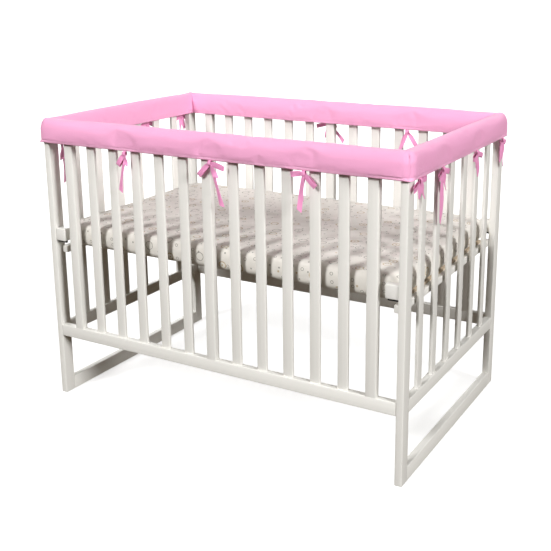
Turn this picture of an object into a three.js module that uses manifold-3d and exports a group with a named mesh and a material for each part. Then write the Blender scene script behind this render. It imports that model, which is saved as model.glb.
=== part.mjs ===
// A padded cloth cover over the four top rails of a crib, tied on with ribbons.
// Millimetres, +Z up. The origin is on the floor, under the middle of the crib.
// The front of the crib faces -Y, and its long sides run along X.

import * as THREE from "three";
import { mergeVertices } from "three/addons/utils/BufferGeometryUtils.js";
import Module from "manifold-3d";

const wasm = await Module();
wasm.setup();

// The crib, over its posts
const CRIB_LENGTH = 1240;
const CRIB_DEPTH = 780;
const RAIL_TOP = 915;
const RAIL_HEIGHT = 40;
const RAIL_THICK = 22;
const BOTTOM_RAIL_LOW = 206;
const BOTTOM_RAIL_HIGH = 245;
const POST_WIDTH = 22;
const POST_DEPTH = 40;
const RUNNER_HEIGHT = 45;
const FRONT_BARS = 13;
const END_BARS = 6;
const STILE_EVERY = 6;
const SLAT_WIDTH = 32;
const SLAT_THICK = 10;
const GAP = 0.3;

// The mattress and what carries it
const MATTRESS_LENGTH = 1176;
const MATTRESS_DEPTH = CRIB_DEPTH - 62;
const MATTRESS_LOW = 517.3;
const MATTRESS_HIGH = 589;
const MATTRESS_CORNER = 46;
const BOARD_LENGTH = 1170;
const BOARD_DEPTH = CRIB_DEPTH - 140;
const BOARD_THICK = 6;
const BATTEN_HEIGHT = 22;
const BATTEN_WIDTH = 22;
const BATTEN_DEPTH = CRIB_DEPTH - 50;
const BATTEN_X = CRIB_LENGTH / 2 - POST_WIDTH - GAP - BATTEN_WIDTH / 2;
const BRACKET_WIDTH = 38;
const BRACKET_DEPTH = 24;
const BRACKET_LOW = 534;
const BRACKET_HIGH = 574;
const BRACKET_Y = CRIB_DEPTH / 2 - 2 - BRACKET_DEPTH / 2;
const BOLT_RADIUS = 4;
const BOLT_LENGTH = 34;

// The padded cover, in a section across its rail
const COVER_TOP = 930;
const COVER_LOW = 854;
const COVER_HALF = 29;
const CORNER_ZONE = 52;
const SLOT_HALF = 13;
const TIE_PINCH = 3.5;
const PINCH_REACH = 70;
const CORNER_STATIONS = 5;
const LEAST_SWEEP = 12;

// The ribbon
const RIBBON_WIDTH = 14;
const RIBBON_THICK = 1.2;
const KNOT_Z = COVER_LOW - 7.7;
const KNOT_OUT = 22;
const STRAP_Z = COVER_LOW - GAP - RIBBON_THICK / 2;
const STRAP_START = 20;

const railX = (CRIB_LENGTH - RAIL_THICK) / 2;
const railY = (CRIB_DEPTH - RAIL_THICK) / 2;

const cloth = new THREE.MeshStandardMaterial({ color: 0xf8a8d4, roughness: 0.9, metalness: 0 });
const ribbonCloth = new THREE.MeshStandardMaterial({ color: 0xf48cc6, roughness: 0.6, metalness: 0 });
const paint = new THREE.MeshStandardMaterial({ color: 0xeceae4, roughness: 0.45, metalness: 0 });
const ticking = new THREE.MeshStandardMaterial({ color: 0xe6e0d2, roughness: 0.9, metalness: 0 });
const wood = new THREE.MeshStandardMaterial({ color: 0xa08a6c, roughness: 0.7, metalness: 0 });
const steel = new THREE.MeshStandardMaterial({ color: 0x3a3a3c, roughness: 0.4, metalness: 0.8 });

// The four runs of the cover: where each starts, the way it goes and the way out of the crib
const RUNS = {
  front: { half: railX, off: railY, along: [1, 0], out: [0, -1] },
  right: { half: railY, off: railX, along: [0, 1], out: [1, 0] },
  back: { half: railX, off: railY, along: [-1, 0], out: [0, 1] },
  left: { half: railY, off: railX, along: [0, -1], out: [-1, 0] },
};

// The ties, each at a place along its run, in a gap between two bars. A face of 1 is the side
// away from the crib and -1 the side towards it. A loop has its length and its fall in degrees,
// and an end has its length and its lean in degrees. A length of 0 leaves it out.
const TIE_COLUMNS = [
  "run", "at", "face", "loopA", "fallA", "loopB", "fallB", "endA", "leanA", "endB", "leanB",
];
const TIE_ROWS = {
  tie_front_1: ["front", -284, 1, 44, 52, 0, 0, 120, -14, 34, 6],
  tie_front_2: ["front", 23, 1, 52, 42, 48, 10, 128, 20, 46, 34],
  tie_front_3: ["front", 325, 1, 40, 4, 46, 40, 72, -10, 104, -9],
  tie_right_1: ["right", -343, 1, 42, 22, 40, -4, 48, 8, 62, 36],
  tie_right_2: ["right", -181, 1, 34, 34, 46, 12, 150, 0, 66, 24],
  tie_right_3: ["right", 94, 1, 30, 30, 52, 12, 84, 26, 40, -12],
  tie_right_4: ["right", 343, 1, 24, 20, 30, 16, 70, -6, 84, 8],
  tie_back_1: ["back", -300, -1, 0, 0, 0, 0, 76, -40, 66, 26],
  tie_back_2: ["back", 22, 1, 34, 20, 48, 10, 96, -52, 50, 12],
  tie_left_1: ["left", -343, 1, 36, 24, 34, 18, 58, -16, 66, 12],
  tie_left_2: ["left", -135, 1, 38, 20, 36, 24, 64, -12, 70, 16],
  tie_left_3: ["left", 343, -1, 0, 0, 0, 0, 128, -4, 52, 8],
};
const TIES = Object.entries(TIE_ROWS).map(([name, row]) => ({
  name,
  ...Object.fromEntries(TIE_COLUMNS.map((column, i) => [column, row[i]])),
}));

// One tie has a short end of its ribbon left at the far hem as well
const FAR_END = { tie: "tie_left_3", length: 40, lean: 6 };

const rig = (degrees) => THREE.MathUtils.degToRad(degrees);

// A point at a place along a run, out from the middle of its rail, at a height
function onRun(run, at, out, z) {
  const reach = run.off + out;
  return new THREE.Vector3(
    run.along[0] * at + run.out[0] * reach,
    run.along[1] * at + run.out[1] * reach,
    z,
  );
}

// A closed solid through rings that have the same number of points
function loft(rings) {
  const count = rings[0].length;
  const points = rings.flat();
  const faces = [];
  for (let r = 0; r + 1 < rings.length; r += 1) {
    for (let i = 0; i < count; i += 1) {
      const a = r * count + i;
      const b = r * count + ((i + 1) % count);
      faces.push(a, b, b + count, a, b + count, a + count);
    }
  }
  const cap = THREE.ShapeUtils.triangulateShape(flatten(rings[0]), []);
  const last = (rings.length - 1) * count;
  for (const [a, b, c] of cap) {
    faces.push(c, b, a);
    faces.push(last + a, last + b, last + c);
  }
  const solid = new THREE.BufferGeometry();
  solid.setAttribute("position", new THREE.Float32BufferAttribute(points.flatMap((p) => p.toArray()), 3));
  solid.setIndex(faces);
  return outward(solid);
}

// A ring seen square on, for its cap
function flatten(ring) {
  const normal = new THREE.Vector3();
  ring.forEach((p, i) => normal.add(new THREE.Vector3().crossVectors(p, ring[(i + 1) % ring.length])));
  normal.normalize();
  const side = new THREE.Vector3().subVectors(ring[1], ring[0]).normalize();
  const up = new THREE.Vector3().crossVectors(normal, side);
  return ring.map((p) => new THREE.Vector2(p.dot(side), p.dot(up)));
}

// Turns the faces round where the solid is inside out
function outward(solid) {
  const p = solid.attributes.position;
  const f = solid.index.array;
  let volume = 0;
  const [a, b, c] = [0, 1, 2].map(() => new THREE.Vector3());
  for (let i = 0; i < f.length; i += 3) {
    a.fromBufferAttribute(p, f[i]);
    b.fromBufferAttribute(p, f[i + 1]);
    c.fromBufferAttribute(p, f[i + 2]);
    volume += a.dot(b.cross(c));
  }
  if (volume < 0) {
    const turned = [];
    for (let i = 0; i < f.length; i += 3) {
      turned.push(f[i + 2], f[i + 1], f[i]);
    }
    solid.setIndex(turned);
  }
  return solid;
}

// Joins solids that overlap into one
function join(solids) {
  const made = solids.map((solid) => {
    const bare = solid.clone();
    bare.deleteAttribute("normal");
    bare.deleteAttribute("uv");
    const merged = mergeVertices(bare, 1e-4);
    return new wasm.Manifold(new wasm.Mesh({
      numProp: 3,
      vertProperties: new Float32Array(merged.attributes.position.array),
      triVerts: new Uint32Array(merged.index.array),
    }));
  });
  // a pinhead pocket sealed between two ribbons is filled: only the outer shell is kept
  const whole = made.reduce((sum, next) => sum.add(next));
  const shells = whole.decompose().filter((shell) => shell.volume() > 0);
  if (shells.length !== 1) throw new Error(`${shells.length} bodies where one is meant`);
  const mesh = shells[0].getMesh();
  const joined = new THREE.BufferGeometry();
  joined.setAttribute("position", new THREE.BufferAttribute(mesh.vertProperties, 3));
  joined.setIndex(new THREE.BufferAttribute(mesh.triVerts, 1));
  return joined;
}

// A box from its lowest to its highest corner
function block(low, high) {
  const size = high.map((v, i) => v - low[i]);
  const made = new THREE.BoxGeometry(...size);
  made.translate(...low.map((v, i) => v + size[i] / 2));
  return made;
}

// Half the outline of the cover's padded section, from the hem up to the crown.
// out is a share of the half width, up is a share of the height, and round is the radius of the
// outer corner, seen from above.
const SECTION = [
  { out: 0.7, up: 0, round: 6 },
  { out: 0.86, up: 0.04, round: 20 },
  { out: 0.97, up: 0.2, round: 34 },
  { out: 1, up: 0.43, round: 36 },
  { out: 0.95, up: 0.66, round: 34 },
  { out: 0.79, up: 0.84, round: 36 },
  { out: 0.52, up: 0.95, round: 24 },
  { out: 0.18, up: 1, round: 8 },
];

// The slot that the rail and the bars stand in
const SLOT = [
  { out: 1.06, z: COVER_LOW },
  { out: 1, z: COVER_LOW + 6 },
  { out: 1, z: RAIL_TOP - 6 },
  { out: 0.98, z: RAIL_TOP + GAP },
];

// How far the padding is drawn in near the ties of a run, from 0 to 1
function pinch(runName, at) {
  const places = TIES.filter((tie) => tie.run === runName).map((tie) => tie.at);
  const near = Math.min(...places.map((place) => Math.abs(at - place)));
  return Math.exp(-((near / PINCH_REACH) ** 2));
}

// One side of the cover, between its two mitred corners
function coverSide(runName) {
  const run = RUNS[runName];
  const middle = Math.round(run.half / 34);
  const stations = [];
  for (let k = CORNER_STATIONS; k > 0; k -= 1) {
    stations.push({ end: -1, turn: k / CORNER_STATIONS });
  }
  for (let k = 0; k <= middle; k += 1) {
    stations.push({ end: 0, share: (2 * k) / middle - 1 });
  }
  for (let k = 1; k <= CORNER_STATIONS; k += 1) {
    stations.push({ end: 1, turn: k / CORNER_STATIONS });
  }

  // where a point of the section lies at a station, with its outer corner rounded
  const place = (station, out, z, rounding) => {
    if (station.end === 0) return onRun(run, station.share * (run.half - CORNER_ZONE), out, z);
    const angle = rig(45) * station.turn;
    const corner = run.half + out - rounding * (1 - Math.sin(rig(45)));
    const sweep = Math.max(rounding, LEAST_SWEEP) * (Math.sin(rig(45)) - Math.sin(angle));
    const at = corner - sweep - GAP / 2;
    const drawn = out - rounding * (1 - Math.cos(angle));
    return onRun(run, station.end * at, drawn, z);
  };

  const rings = stations.map((station) => {
    const at = station.end === 0 ? station.share * (run.half - CORNER_ZONE) : station.end * run.half;
    const full = station.end === 0 ? pinch(runName, at) : 0.4;
    const puff = Math.sin(at / 41) * 0.5 + Math.sin(at / 97 + 1) * 0.8;
    const ring = [];
    for (const side of [1, -1]) {
      const rows = side === 1 ? SECTION : [...SECTION].reverse();
      for (const row of rows) {
        const belly = Math.sin(Math.PI * Math.min(1, row.up + 0.15));
        const half = COVER_HALF - full * TIE_PINCH * belly + puff * belly * row.up;
        const out = side * row.out * Math.min(half, COVER_HALF);
        const z = COVER_LOW + row.up * (COVER_TOP - COVER_LOW);
        const rounding = side === 1 && station.end !== 0 ? row.round : 0;
        ring.push(place(station, out, z, rounding));
      }
    }
    const inner = SLOT.map((row) => place(station, -row.out * SLOT_HALF, row.z, 0));
    const outer = SLOT.map((row) => place(station, row.out * SLOT_HALF, row.z, 0));
    ring.push(...inner, ...outer.reverse());
    return ring;
  });
  return loft(rings);
}

// A flat ribbon along points, with the direction of its width and the width at each point
function ribbon(points, across, widths) {
  const rings = points.map((p, i) => {
    const before = points[Math.max(0, i - 1)];
    const after = points[Math.min(points.length - 1, i + 1)];
    const ahead = new THREE.Vector3().subVectors(after, before).normalize();
    const wide = across[i].clone().addScaledVector(ahead, -across[i].dot(ahead)).normalize();
    const thick = new THREE.Vector3().crossVectors(ahead, wide);
    const w = widths[i] / 2;
    const t = RIBBON_THICK / 2;
    return [[w, t], [-w, t], [-w, -t], [w, -t]].map(([u, v]) =>
      p.clone().addScaledVector(wide, u).addScaledVector(thick, v));
  });
  return loft(rings);
}

// A point of a tie: right of its knot as seen from its own side, out from the rail, and up
function atTie(tie, right, out, z) {
  return onRun(RUNS[tie.run], tie.at + right, tie.face * out, z);
}

// A direction of a tie, by the same three axes
function wayAtTie(tie, right, out, up) {
  const run = RUNS[tie.run];
  return new THREE.Vector3(
    run.along[0] * right + run.out[0] * out * tie.face,
    run.along[1] * right + run.out[1] * out * tie.face,
    up,
  );
}

// One loop of a bow: out from the knot, round at its tip and back
function bowLoop(tie, side, length, fall) {
  const steps = 9;
  const points = [];
  const across = [];
  const widths = [];
  for (let i = 0; i <= steps; i += 1) {
    const turn = (i / steps) * 2 * Math.PI;
    const reach = (length / 2) * (1 - Math.cos(turn));
    const open = 4.2 * Math.sin(turn) * Math.sin(turn / 2) ** 0.8;
    const drop = reach * Math.sin(rig(fall)) + 0.0016 * reach * reach;
    points.push(atTie(tie, side * reach * Math.cos(rig(fall)), KNOT_OUT + open, KNOT_Z - 0.5 - drop));
    across.push(wayAtTie(tie, side * Math.sin(rig(fall)), 0.12, Math.cos(rig(fall))));
    widths.push(RIBBON_WIDTH * (0.55 + 0.45 * Math.min(1, reach / 14)));
  }
  return ribbon(points, across, widths);
}

// One free end of a tie, hanging from the knot or from another height
function freeEnd(tie, length, lean, order, top = KNOT_Z - 1) {
  const steps = 6;
  const points = [];
  const across = [];
  const widths = [];
  for (let i = 0; i <= steps; i += 1) {
    const t = i / steps;
    const right = Math.sin(rig(lean)) * length * (t - 0.18 * t * t);
    const down = Math.cos(rig(lean)) * length * t;
    const sway = 1.6 * Math.sin(t * 5 + order * 2);
    points.push(atTie(tie, right, KNOT_OUT - 1 + order * 2.6 + sway * t, top - down));
    across.push(wayAtTie(tie, Math.cos(rig(lean)), 0.35 * Math.sin(3 * t + order), Math.sin(rig(lean))));
    widths.push(RIBBON_WIDTH * (0.5 + 0.4 * Math.min(1, t * 4)));
  }
  return ribbon(points, across, widths);
}

// The ribbon that passes under the rail from hem to hem, where the tie is made fast
function strap(tie) {
  const reach = tie.name === FAR_END.tie ? KNOT_OUT : STRAP_START;
  const outs = [-reach, -6, 8, KNOT_OUT + 2];
  const points = outs.map((out) => atTie(tie, 0, out, STRAP_Z));
  const across = outs.map(() => wayAtTie(tie, 1, 0, 0));
  return ribbon(points, across, outs.map(() => RIBBON_WIDTH * 0.8));
}

// A whole tie: strap, knot, loops and free ends
function tieSolid(tie) {
  const knot = new THREE.SphereGeometry(1, 8, 5);
  knot.scale(7.5, 5.2, 7.4);
  if (RUNS[tie.run].along[0] === 0) knot.rotateZ(Math.PI / 2);
  knot.translate(...atTie(tie, 0, KNOT_OUT, KNOT_Z).toArray());
  const solids = [strap(tie), knot];
  if (tie.loopA) solids.push(bowLoop(tie, -1, tie.loopA, tie.fallA));
  if (tie.loopB) solids.push(bowLoop(tie, 1, tie.loopB, tie.fallB));
  if (tie.endA) solids.push(freeEnd(tie, tie.endA, tie.leanA, -0.5));
  if (tie.endB) solids.push(freeEnd(tie, tie.endB, tie.leanB, 0.8));
  if (tie.name === FAR_END.tie) {
    const turned = { ...tie, face: -tie.face };
    solids.push(freeEnd(turned, FAR_END.length, FAR_END.lean, 0, STRAP_Z));
  }
  return join(solids);
}

// One slatted side of the crib: top rail, bottom rail and the bars between them
function slattedSide(runName, length, bars, pitch, stileEvery) {
  const run = RUNS[runName];
  const bar = (at, wide, thick, low, high) => {
    const a = onRun(run, at - wide / 2, -thick / 2, low);
    const b = onRun(run, at + wide / 2, thick / 2, high);
    return block(a.clone().min(b).toArray(), a.clone().max(b).toArray());
  };
  const solids = [
    bar(0, length, RAIL_THICK, RAIL_TOP - RAIL_HEIGHT, RAIL_TOP),
    bar(0, length, RAIL_THICK, BOTTOM_RAIL_LOW, BOTTOM_RAIL_HIGH),
  ];
  for (let i = 1; i <= bars; i += 1) {
    const at = (i - (bars + 1) / 2) * pitch;
    const thick = stileEvery && (i - 1) % stileEvery === 0 ? RAIL_THICK : SLAT_THICK;
    solids.push(bar(at, SLAT_WIDTH, thick, BOTTOM_RAIL_HIGH - 4, RAIL_TOP - RAIL_HEIGHT + 4));
  }
  return join(solids);
}

// The mattress: a rounded slab with a slight crown
const MATTRESS_ROWS = [
  { inset: 14, up: 0 },
  { inset: 3, up: 0.16 },
  { inset: 0, up: 0.45 },
  { inset: 2, up: 0.74 },
  { inset: 9, up: 0.91 },
  { inset: 24, up: 0.985 },
  { inset: 60, up: 1 },
];

function mattressSolid() {
  const perCorner = 5;
  const rings = MATTRESS_ROWS.map((row) => {
    const ring = [];
    const halfX = MATTRESS_LENGTH / 2 - row.inset;
    const halfY = MATTRESS_DEPTH / 2 - row.inset;
    for (let corner = 0; corner < 4; corner += 1) {
      const signX = corner === 0 || corner === 3 ? 1 : -1;
      const signY = corner < 2 ? 1 : -1;
      for (let k = 0; k < perCorner; k += 1) {
        const angle = rig(90 * (corner + k / (perCorner - 1)));
        ring.push(new THREE.Vector3(
          signX * (halfX - MATTRESS_CORNER) + MATTRESS_CORNER * Math.cos(angle),
          signY * (halfY - MATTRESS_CORNER) + MATTRESS_CORNER * Math.sin(angle),
          MATTRESS_LOW + row.up * (MATTRESS_HIGH - MATTRESS_LOW),
        ));
      }
    }
    return ring;
  });
  return loft(rings);
}

const model = new THREE.Group();

function add(name, geometry, material) {
  const mesh = new THREE.Mesh(geometry, material);
  mesh.name = name;
  model.add(mesh);
  return mesh;
}

for (const name of Object.keys(RUNS)) add(`cover_${name}`, coverSide(name), cloth);
for (const tie of TIES) add(tie.name, tieSolid(tie), ribbonCloth);

const frontPitch = (CRIB_LENGTH - POST_WIDTH) / (FRONT_BARS + 1);
const endPitch = (CRIB_DEPTH - POST_DEPTH) / (END_BARS + 1);
const frontSpan = CRIB_LENGTH - 2 * POST_WIDTH - 2 * GAP;
const endSpan = CRIB_DEPTH - 2 * POST_DEPTH - 2 * GAP;
add("side_front", slattedSide("front", frontSpan, FRONT_BARS, frontPitch, STILE_EVERY), paint);
add("side_back", slattedSide("back", frontSpan, FRONT_BARS, frontPitch, STILE_EVERY), paint);
add("end_right", slattedSide("right", endSpan, END_BARS, endPitch, 0), paint);
add("end_left", slattedSide("left", endSpan, END_BARS, endPitch, 0), paint);

for (const [sideX, nameX] of [[-1, "left"], [1, "right"]]) {
  for (const [sideY, nameY] of [[-1, "front"], [1, "back"]]) {
    const post = new THREE.BoxGeometry(POST_WIDTH, POST_DEPTH, RAIL_TOP);
    const mesh = add(`post_${nameY}_${nameX}`, post, paint);
    mesh.position.set(
      sideX * (CRIB_LENGTH - POST_WIDTH) / 2,
      sideY * (CRIB_DEPTH - POST_DEPTH) / 2,
      RAIL_TOP / 2,
    );
    const postFace = CRIB_LENGTH / 2 - POST_WIDTH - GAP;
    const block = new THREE.BoxGeometry(BRACKET_WIDTH, BRACKET_DEPTH, BRACKET_HIGH - BRACKET_LOW);
    add(`bracket_${nameY}_${nameX}`, block, paint).position.set(
      sideX * (postFace - BRACKET_WIDTH / 2),
      sideY * BRACKET_Y,
      (BRACKET_LOW + BRACKET_HIGH) / 2,
    );
    const bolt = new THREE.CylinderGeometry(BOLT_RADIUS, BOLT_RADIUS, BOLT_LENGTH, 12);
    const boltMesh = add(`bolt_${nameY}_${nameX}`, bolt, steel);
    boltMesh.rotation.z = Math.PI / 2;
    boltMesh.position.set(
      sideX * (postFace - BOLT_LENGTH / 2),
      sideY * BRACKET_Y,
      BRACKET_LOW - GAP - BOLT_RADIUS,
    );
  }
  const runner = new THREE.BoxGeometry(POST_WIDTH, endSpan, RUNNER_HEIGHT);
  add(`runner_${nameX}`, runner, paint).position.set(
    sideX * (CRIB_LENGTH - POST_WIDTH) / 2,
    0,
    RUNNER_HEIGHT / 2,
  );
  const batten = new THREE.BoxGeometry(BATTEN_WIDTH, BATTEN_DEPTH, BATTEN_HEIGHT);
  add(`batten_${nameX}`, batten, paint).position.set(
    sideX * BATTEN_X,
    0,
    MATTRESS_LOW - GAP * 2 - BOARD_THICK - BATTEN_HEIGHT / 2,
  );
}

add("mattress_board", new THREE.BoxGeometry(BOARD_LENGTH, BOARD_DEPTH, BOARD_THICK), wood)
  .position.set(0, 0, MATTRESS_LOW - GAP - BOARD_THICK / 2);
add("mattress", mattressSolid(), ticking);

export default model;
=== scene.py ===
# %% [markdown]
# # A padded cloth cover on the rails of a crib
#
# The cover is four padded strips of pink cotton. Each is folded over one top rail of the crib,
# and ribbons tie it on under the rail. The crib itself stays plain: painted posts, rails and bars,
# with a mattress in it. The frame holds every solid at its real size, so each piece here starts
# from a box or a rail line of that frame.

# %% Frame
import math

import bmesh
import bpy
import numpy as np
from mathutils import Matrix, Vector


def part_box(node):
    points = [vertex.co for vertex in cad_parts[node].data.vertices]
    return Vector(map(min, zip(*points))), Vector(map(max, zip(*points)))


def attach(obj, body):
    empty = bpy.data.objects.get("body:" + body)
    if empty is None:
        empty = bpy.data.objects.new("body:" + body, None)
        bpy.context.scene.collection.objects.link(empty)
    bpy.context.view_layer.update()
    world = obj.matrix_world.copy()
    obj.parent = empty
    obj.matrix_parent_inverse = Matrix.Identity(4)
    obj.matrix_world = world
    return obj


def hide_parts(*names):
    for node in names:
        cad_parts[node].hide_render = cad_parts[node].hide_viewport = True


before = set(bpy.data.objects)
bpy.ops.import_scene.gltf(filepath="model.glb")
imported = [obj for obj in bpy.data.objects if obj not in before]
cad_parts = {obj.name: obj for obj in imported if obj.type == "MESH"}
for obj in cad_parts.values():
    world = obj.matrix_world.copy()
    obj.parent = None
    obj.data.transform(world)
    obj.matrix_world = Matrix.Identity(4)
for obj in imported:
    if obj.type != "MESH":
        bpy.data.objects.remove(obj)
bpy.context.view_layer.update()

MM = 0.001

# %% [markdown]
# ## Camera
#
# The camera stands in front of the right-hand end, a little above the cover, and looks down by
# about 14 degrees. Its place was worked out from the straight edges of the crib. The lens is a
# mild telephoto, and a small shift lowers the view without a stronger tilt, so the posts stay
# nearly upright, as a product photographer has them.

# %% Camera
CAMERA_AT = (1.4694, -2.4397, 1.3357)
CAMERA_AHEAD = (-0.48072, 0.84238, -0.24352)
CAMERA_UP = (-0.11557, 0.21443, 0.96988)
FOCAL_MM = 59.05
SENSOR_MM = 36.0
SHIFT_RIGHT = -0.04
SHIFT_UP = -0.12


def place_camera():
    data = bpy.data.cameras.new("camera")
    data.lens = FOCAL_MM
    data.sensor_width = SENSOR_MM
    data.shift_x = SHIFT_RIGHT
    data.shift_y = SHIFT_UP
    camera = bpy.data.objects.new("camera", data)
    ahead = Vector(CAMERA_AHEAD).normalized()
    up = Vector(CAMERA_UP).normalized()
    right = ahead.cross(up)
    turn = Matrix((right, up, -ahead)).transposed()
    camera.matrix_world = Matrix.Translation(CAMERA_AT) @ turn.to_4x4()
    bpy.context.scene.collection.objects.link(camera)
    bpy.context.scene.camera = camera
    print("camera", [round(v, 2) for v in CAMERA_AT], "lens", FOCAL_MM)


place_camera()

# %% [markdown]
# ## Light, floor and backdrop
#
# The crib was photographed in a room with a high soft light from the front, a window on the
# right and a brown floor, and then cut out on white. So a key and a fill, both wide suns, stand
# for the first two, a weak low one lights the back, and the sky is pale above and dim and warm
# below. The white floor and the white dome only show to the camera and throw no light back.

# %% Light, floor and backdrop
KEY = {"from": (-0.17, -0.66, 0.43), "strength": 2.45, "width": 14}
FILL = {"from": (0.93, -0.22, 0.37), "strength": 2.55, "width": 15}
BACK = {"from": (-0.62, 0.75, 0.16), "strength": 1.5, "width": 40}
SKY_STOPS = (  # height on the sky from -1 to 1, colour
    (-1.0, (0.080, 0.058, 0.036)),
    (-0.05, (0.085, 0.062, 0.040)),
    (0.15, (0.10, 0.085, 0.065)),
    (0.5, (0.25, 0.243, 0.23)),
    (1.0, (0.34, 0.335, 0.32)),
)
FLOOR_SIZE = 240.0
FLOOR_GLOW = 0.62
FLOOR_PALE = 0.72
DOME_RADIUS = FLOOR_SIZE * 0.45
DOME_GLOW = 1.0
STAGE_ROUGHNESS = 0.9


def add_sun(name, light):
    sun = bpy.data.lights.new(name, "SUN")
    sun.energy = light["strength"]
    sun.angle = math.radians(light["width"])
    lamp = bpy.data.objects.new(name, sun)
    lamp.rotation_euler = Vector(light["from"]).to_track_quat("Z", "Y").to_euler()
    bpy.context.scene.collection.objects.link(lamp)
    print(name, "from", light["from"], "strength", light["strength"])


def make_sky():
    world = bpy.data.worlds.new("sky")
    world.use_nodes = True
    tree = world.node_tree
    way = tree.nodes.new("ShaderNodeTexCoord")
    split = tree.nodes.new("ShaderNodeSeparateXYZ")
    spread = tree.nodes.new("ShaderNodeMapRange")
    spread.inputs["From Min"].default_value = -1.0
    bar = tree.nodes.new("ShaderNodeValToRGB")
    tree.links.new(way.outputs["Generated"], split.inputs[0])
    tree.links.new(split.outputs["Z"], spread.inputs["Value"])
    tree.links.new(spread.outputs[0], bar.inputs[0])
    tree.links.new(bar.outputs[0], tree.nodes["Background"].inputs["Color"])
    elements = bar.color_ramp.elements
    while len(elements) < len(SKY_STOPS):
        elements.new(0.5)
    for element, (height, colour) in zip(elements, SKY_STOPS):
        element.position = (height + 1) / 2
        element.color = (*colour, 1)
    bpy.context.scene.world = world


def stage_piece(name, bm, pale, glow):
    mesh = bpy.data.meshes.new(name)
    bm.to_mesh(mesh)
    bm.free()
    white = bpy.data.materials.new(f"white_{name}")
    white.use_nodes = True
    surface = white.node_tree.nodes["Principled BSDF"]
    surface.inputs["Base Color"].default_value = (pale, pale, pale, 1)
    surface.inputs["Roughness"].default_value = STAGE_ROUGHNESS
    surface.inputs["Specular IOR Level"].default_value = 0.0
    surface.inputs["Emission Color"].default_value = (1, 1, 1, 1)
    surface.inputs["Emission Strength"].default_value = glow
    mesh.materials.append(white)
    made = bpy.data.objects.new(name, mesh)
    bpy.context.scene.collection.objects.link(made)
    made.visible_diffuse = False
    made.visible_glossy = False
    return made


def set_stage():
    floor = bmesh.new()
    bmesh.ops.create_grid(floor, x_segments=1, y_segments=1, size=FLOOR_SIZE / 2)
    stage_piece("floor", floor, FLOOR_PALE, FLOOR_GLOW)
    dome = bmesh.new()
    bmesh.ops.create_uvsphere(dome, u_segments=48, v_segments=24, radius=DOME_RADIUS)
    dome = stage_piece("dome", dome, 0.0, DOME_GLOW)
    dome.visible_shadow = False


add_sun("key", KEY)
add_sun("fill", FILL)
add_sun("back", BACK)
make_sky()
set_stage()
bpy.context.scene.view_settings.view_transform = "Standard"

# %% [markdown]
# ## Shader sums
#
# A material here is a short piece of arithmetic. `Wire` holds one socket and gives it the usual
# signs, so that `mask * 0.5` adds a Math node. `Finish` starts a material and makes every other
# node from its type, its settings and its inputs. Noise has a scale per metre and a detail.

# %% Shader sums
class Wire:
    """One output socket of a material, which can stand in a sum."""

    def __init__(self, finish, socket):
        self.finish = finish
        self.socket = socket

    def sum(self, operation, first, second=0.0):
        return self.finish.node("ShaderNodeMath", {"operation": operation}, first, second)

    def __add__(self, other):
        return self.sum("ADD", self, other)

    def __radd__(self, other):
        return self.sum("ADD", other, self)

    def __sub__(self, other):
        return self.sum("SUBTRACT", self, other)

    def __mul__(self, other):
        return self.sum("MULTIPLY", self, other)

    def __rmul__(self, other):
        return self.sum("MULTIPLY", other, self)

    def __gt__(self, other):
        return self.sum("GREATER_THAN", self, other)

    def __lt__(self, other):
        return self.sum("LESS_THAN", self, other)

    def wave(self, pitch):
        """From -1 to 1 and back over each pitch."""
        return self.sum("SINE", self * (2 * math.pi / pitch))


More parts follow.
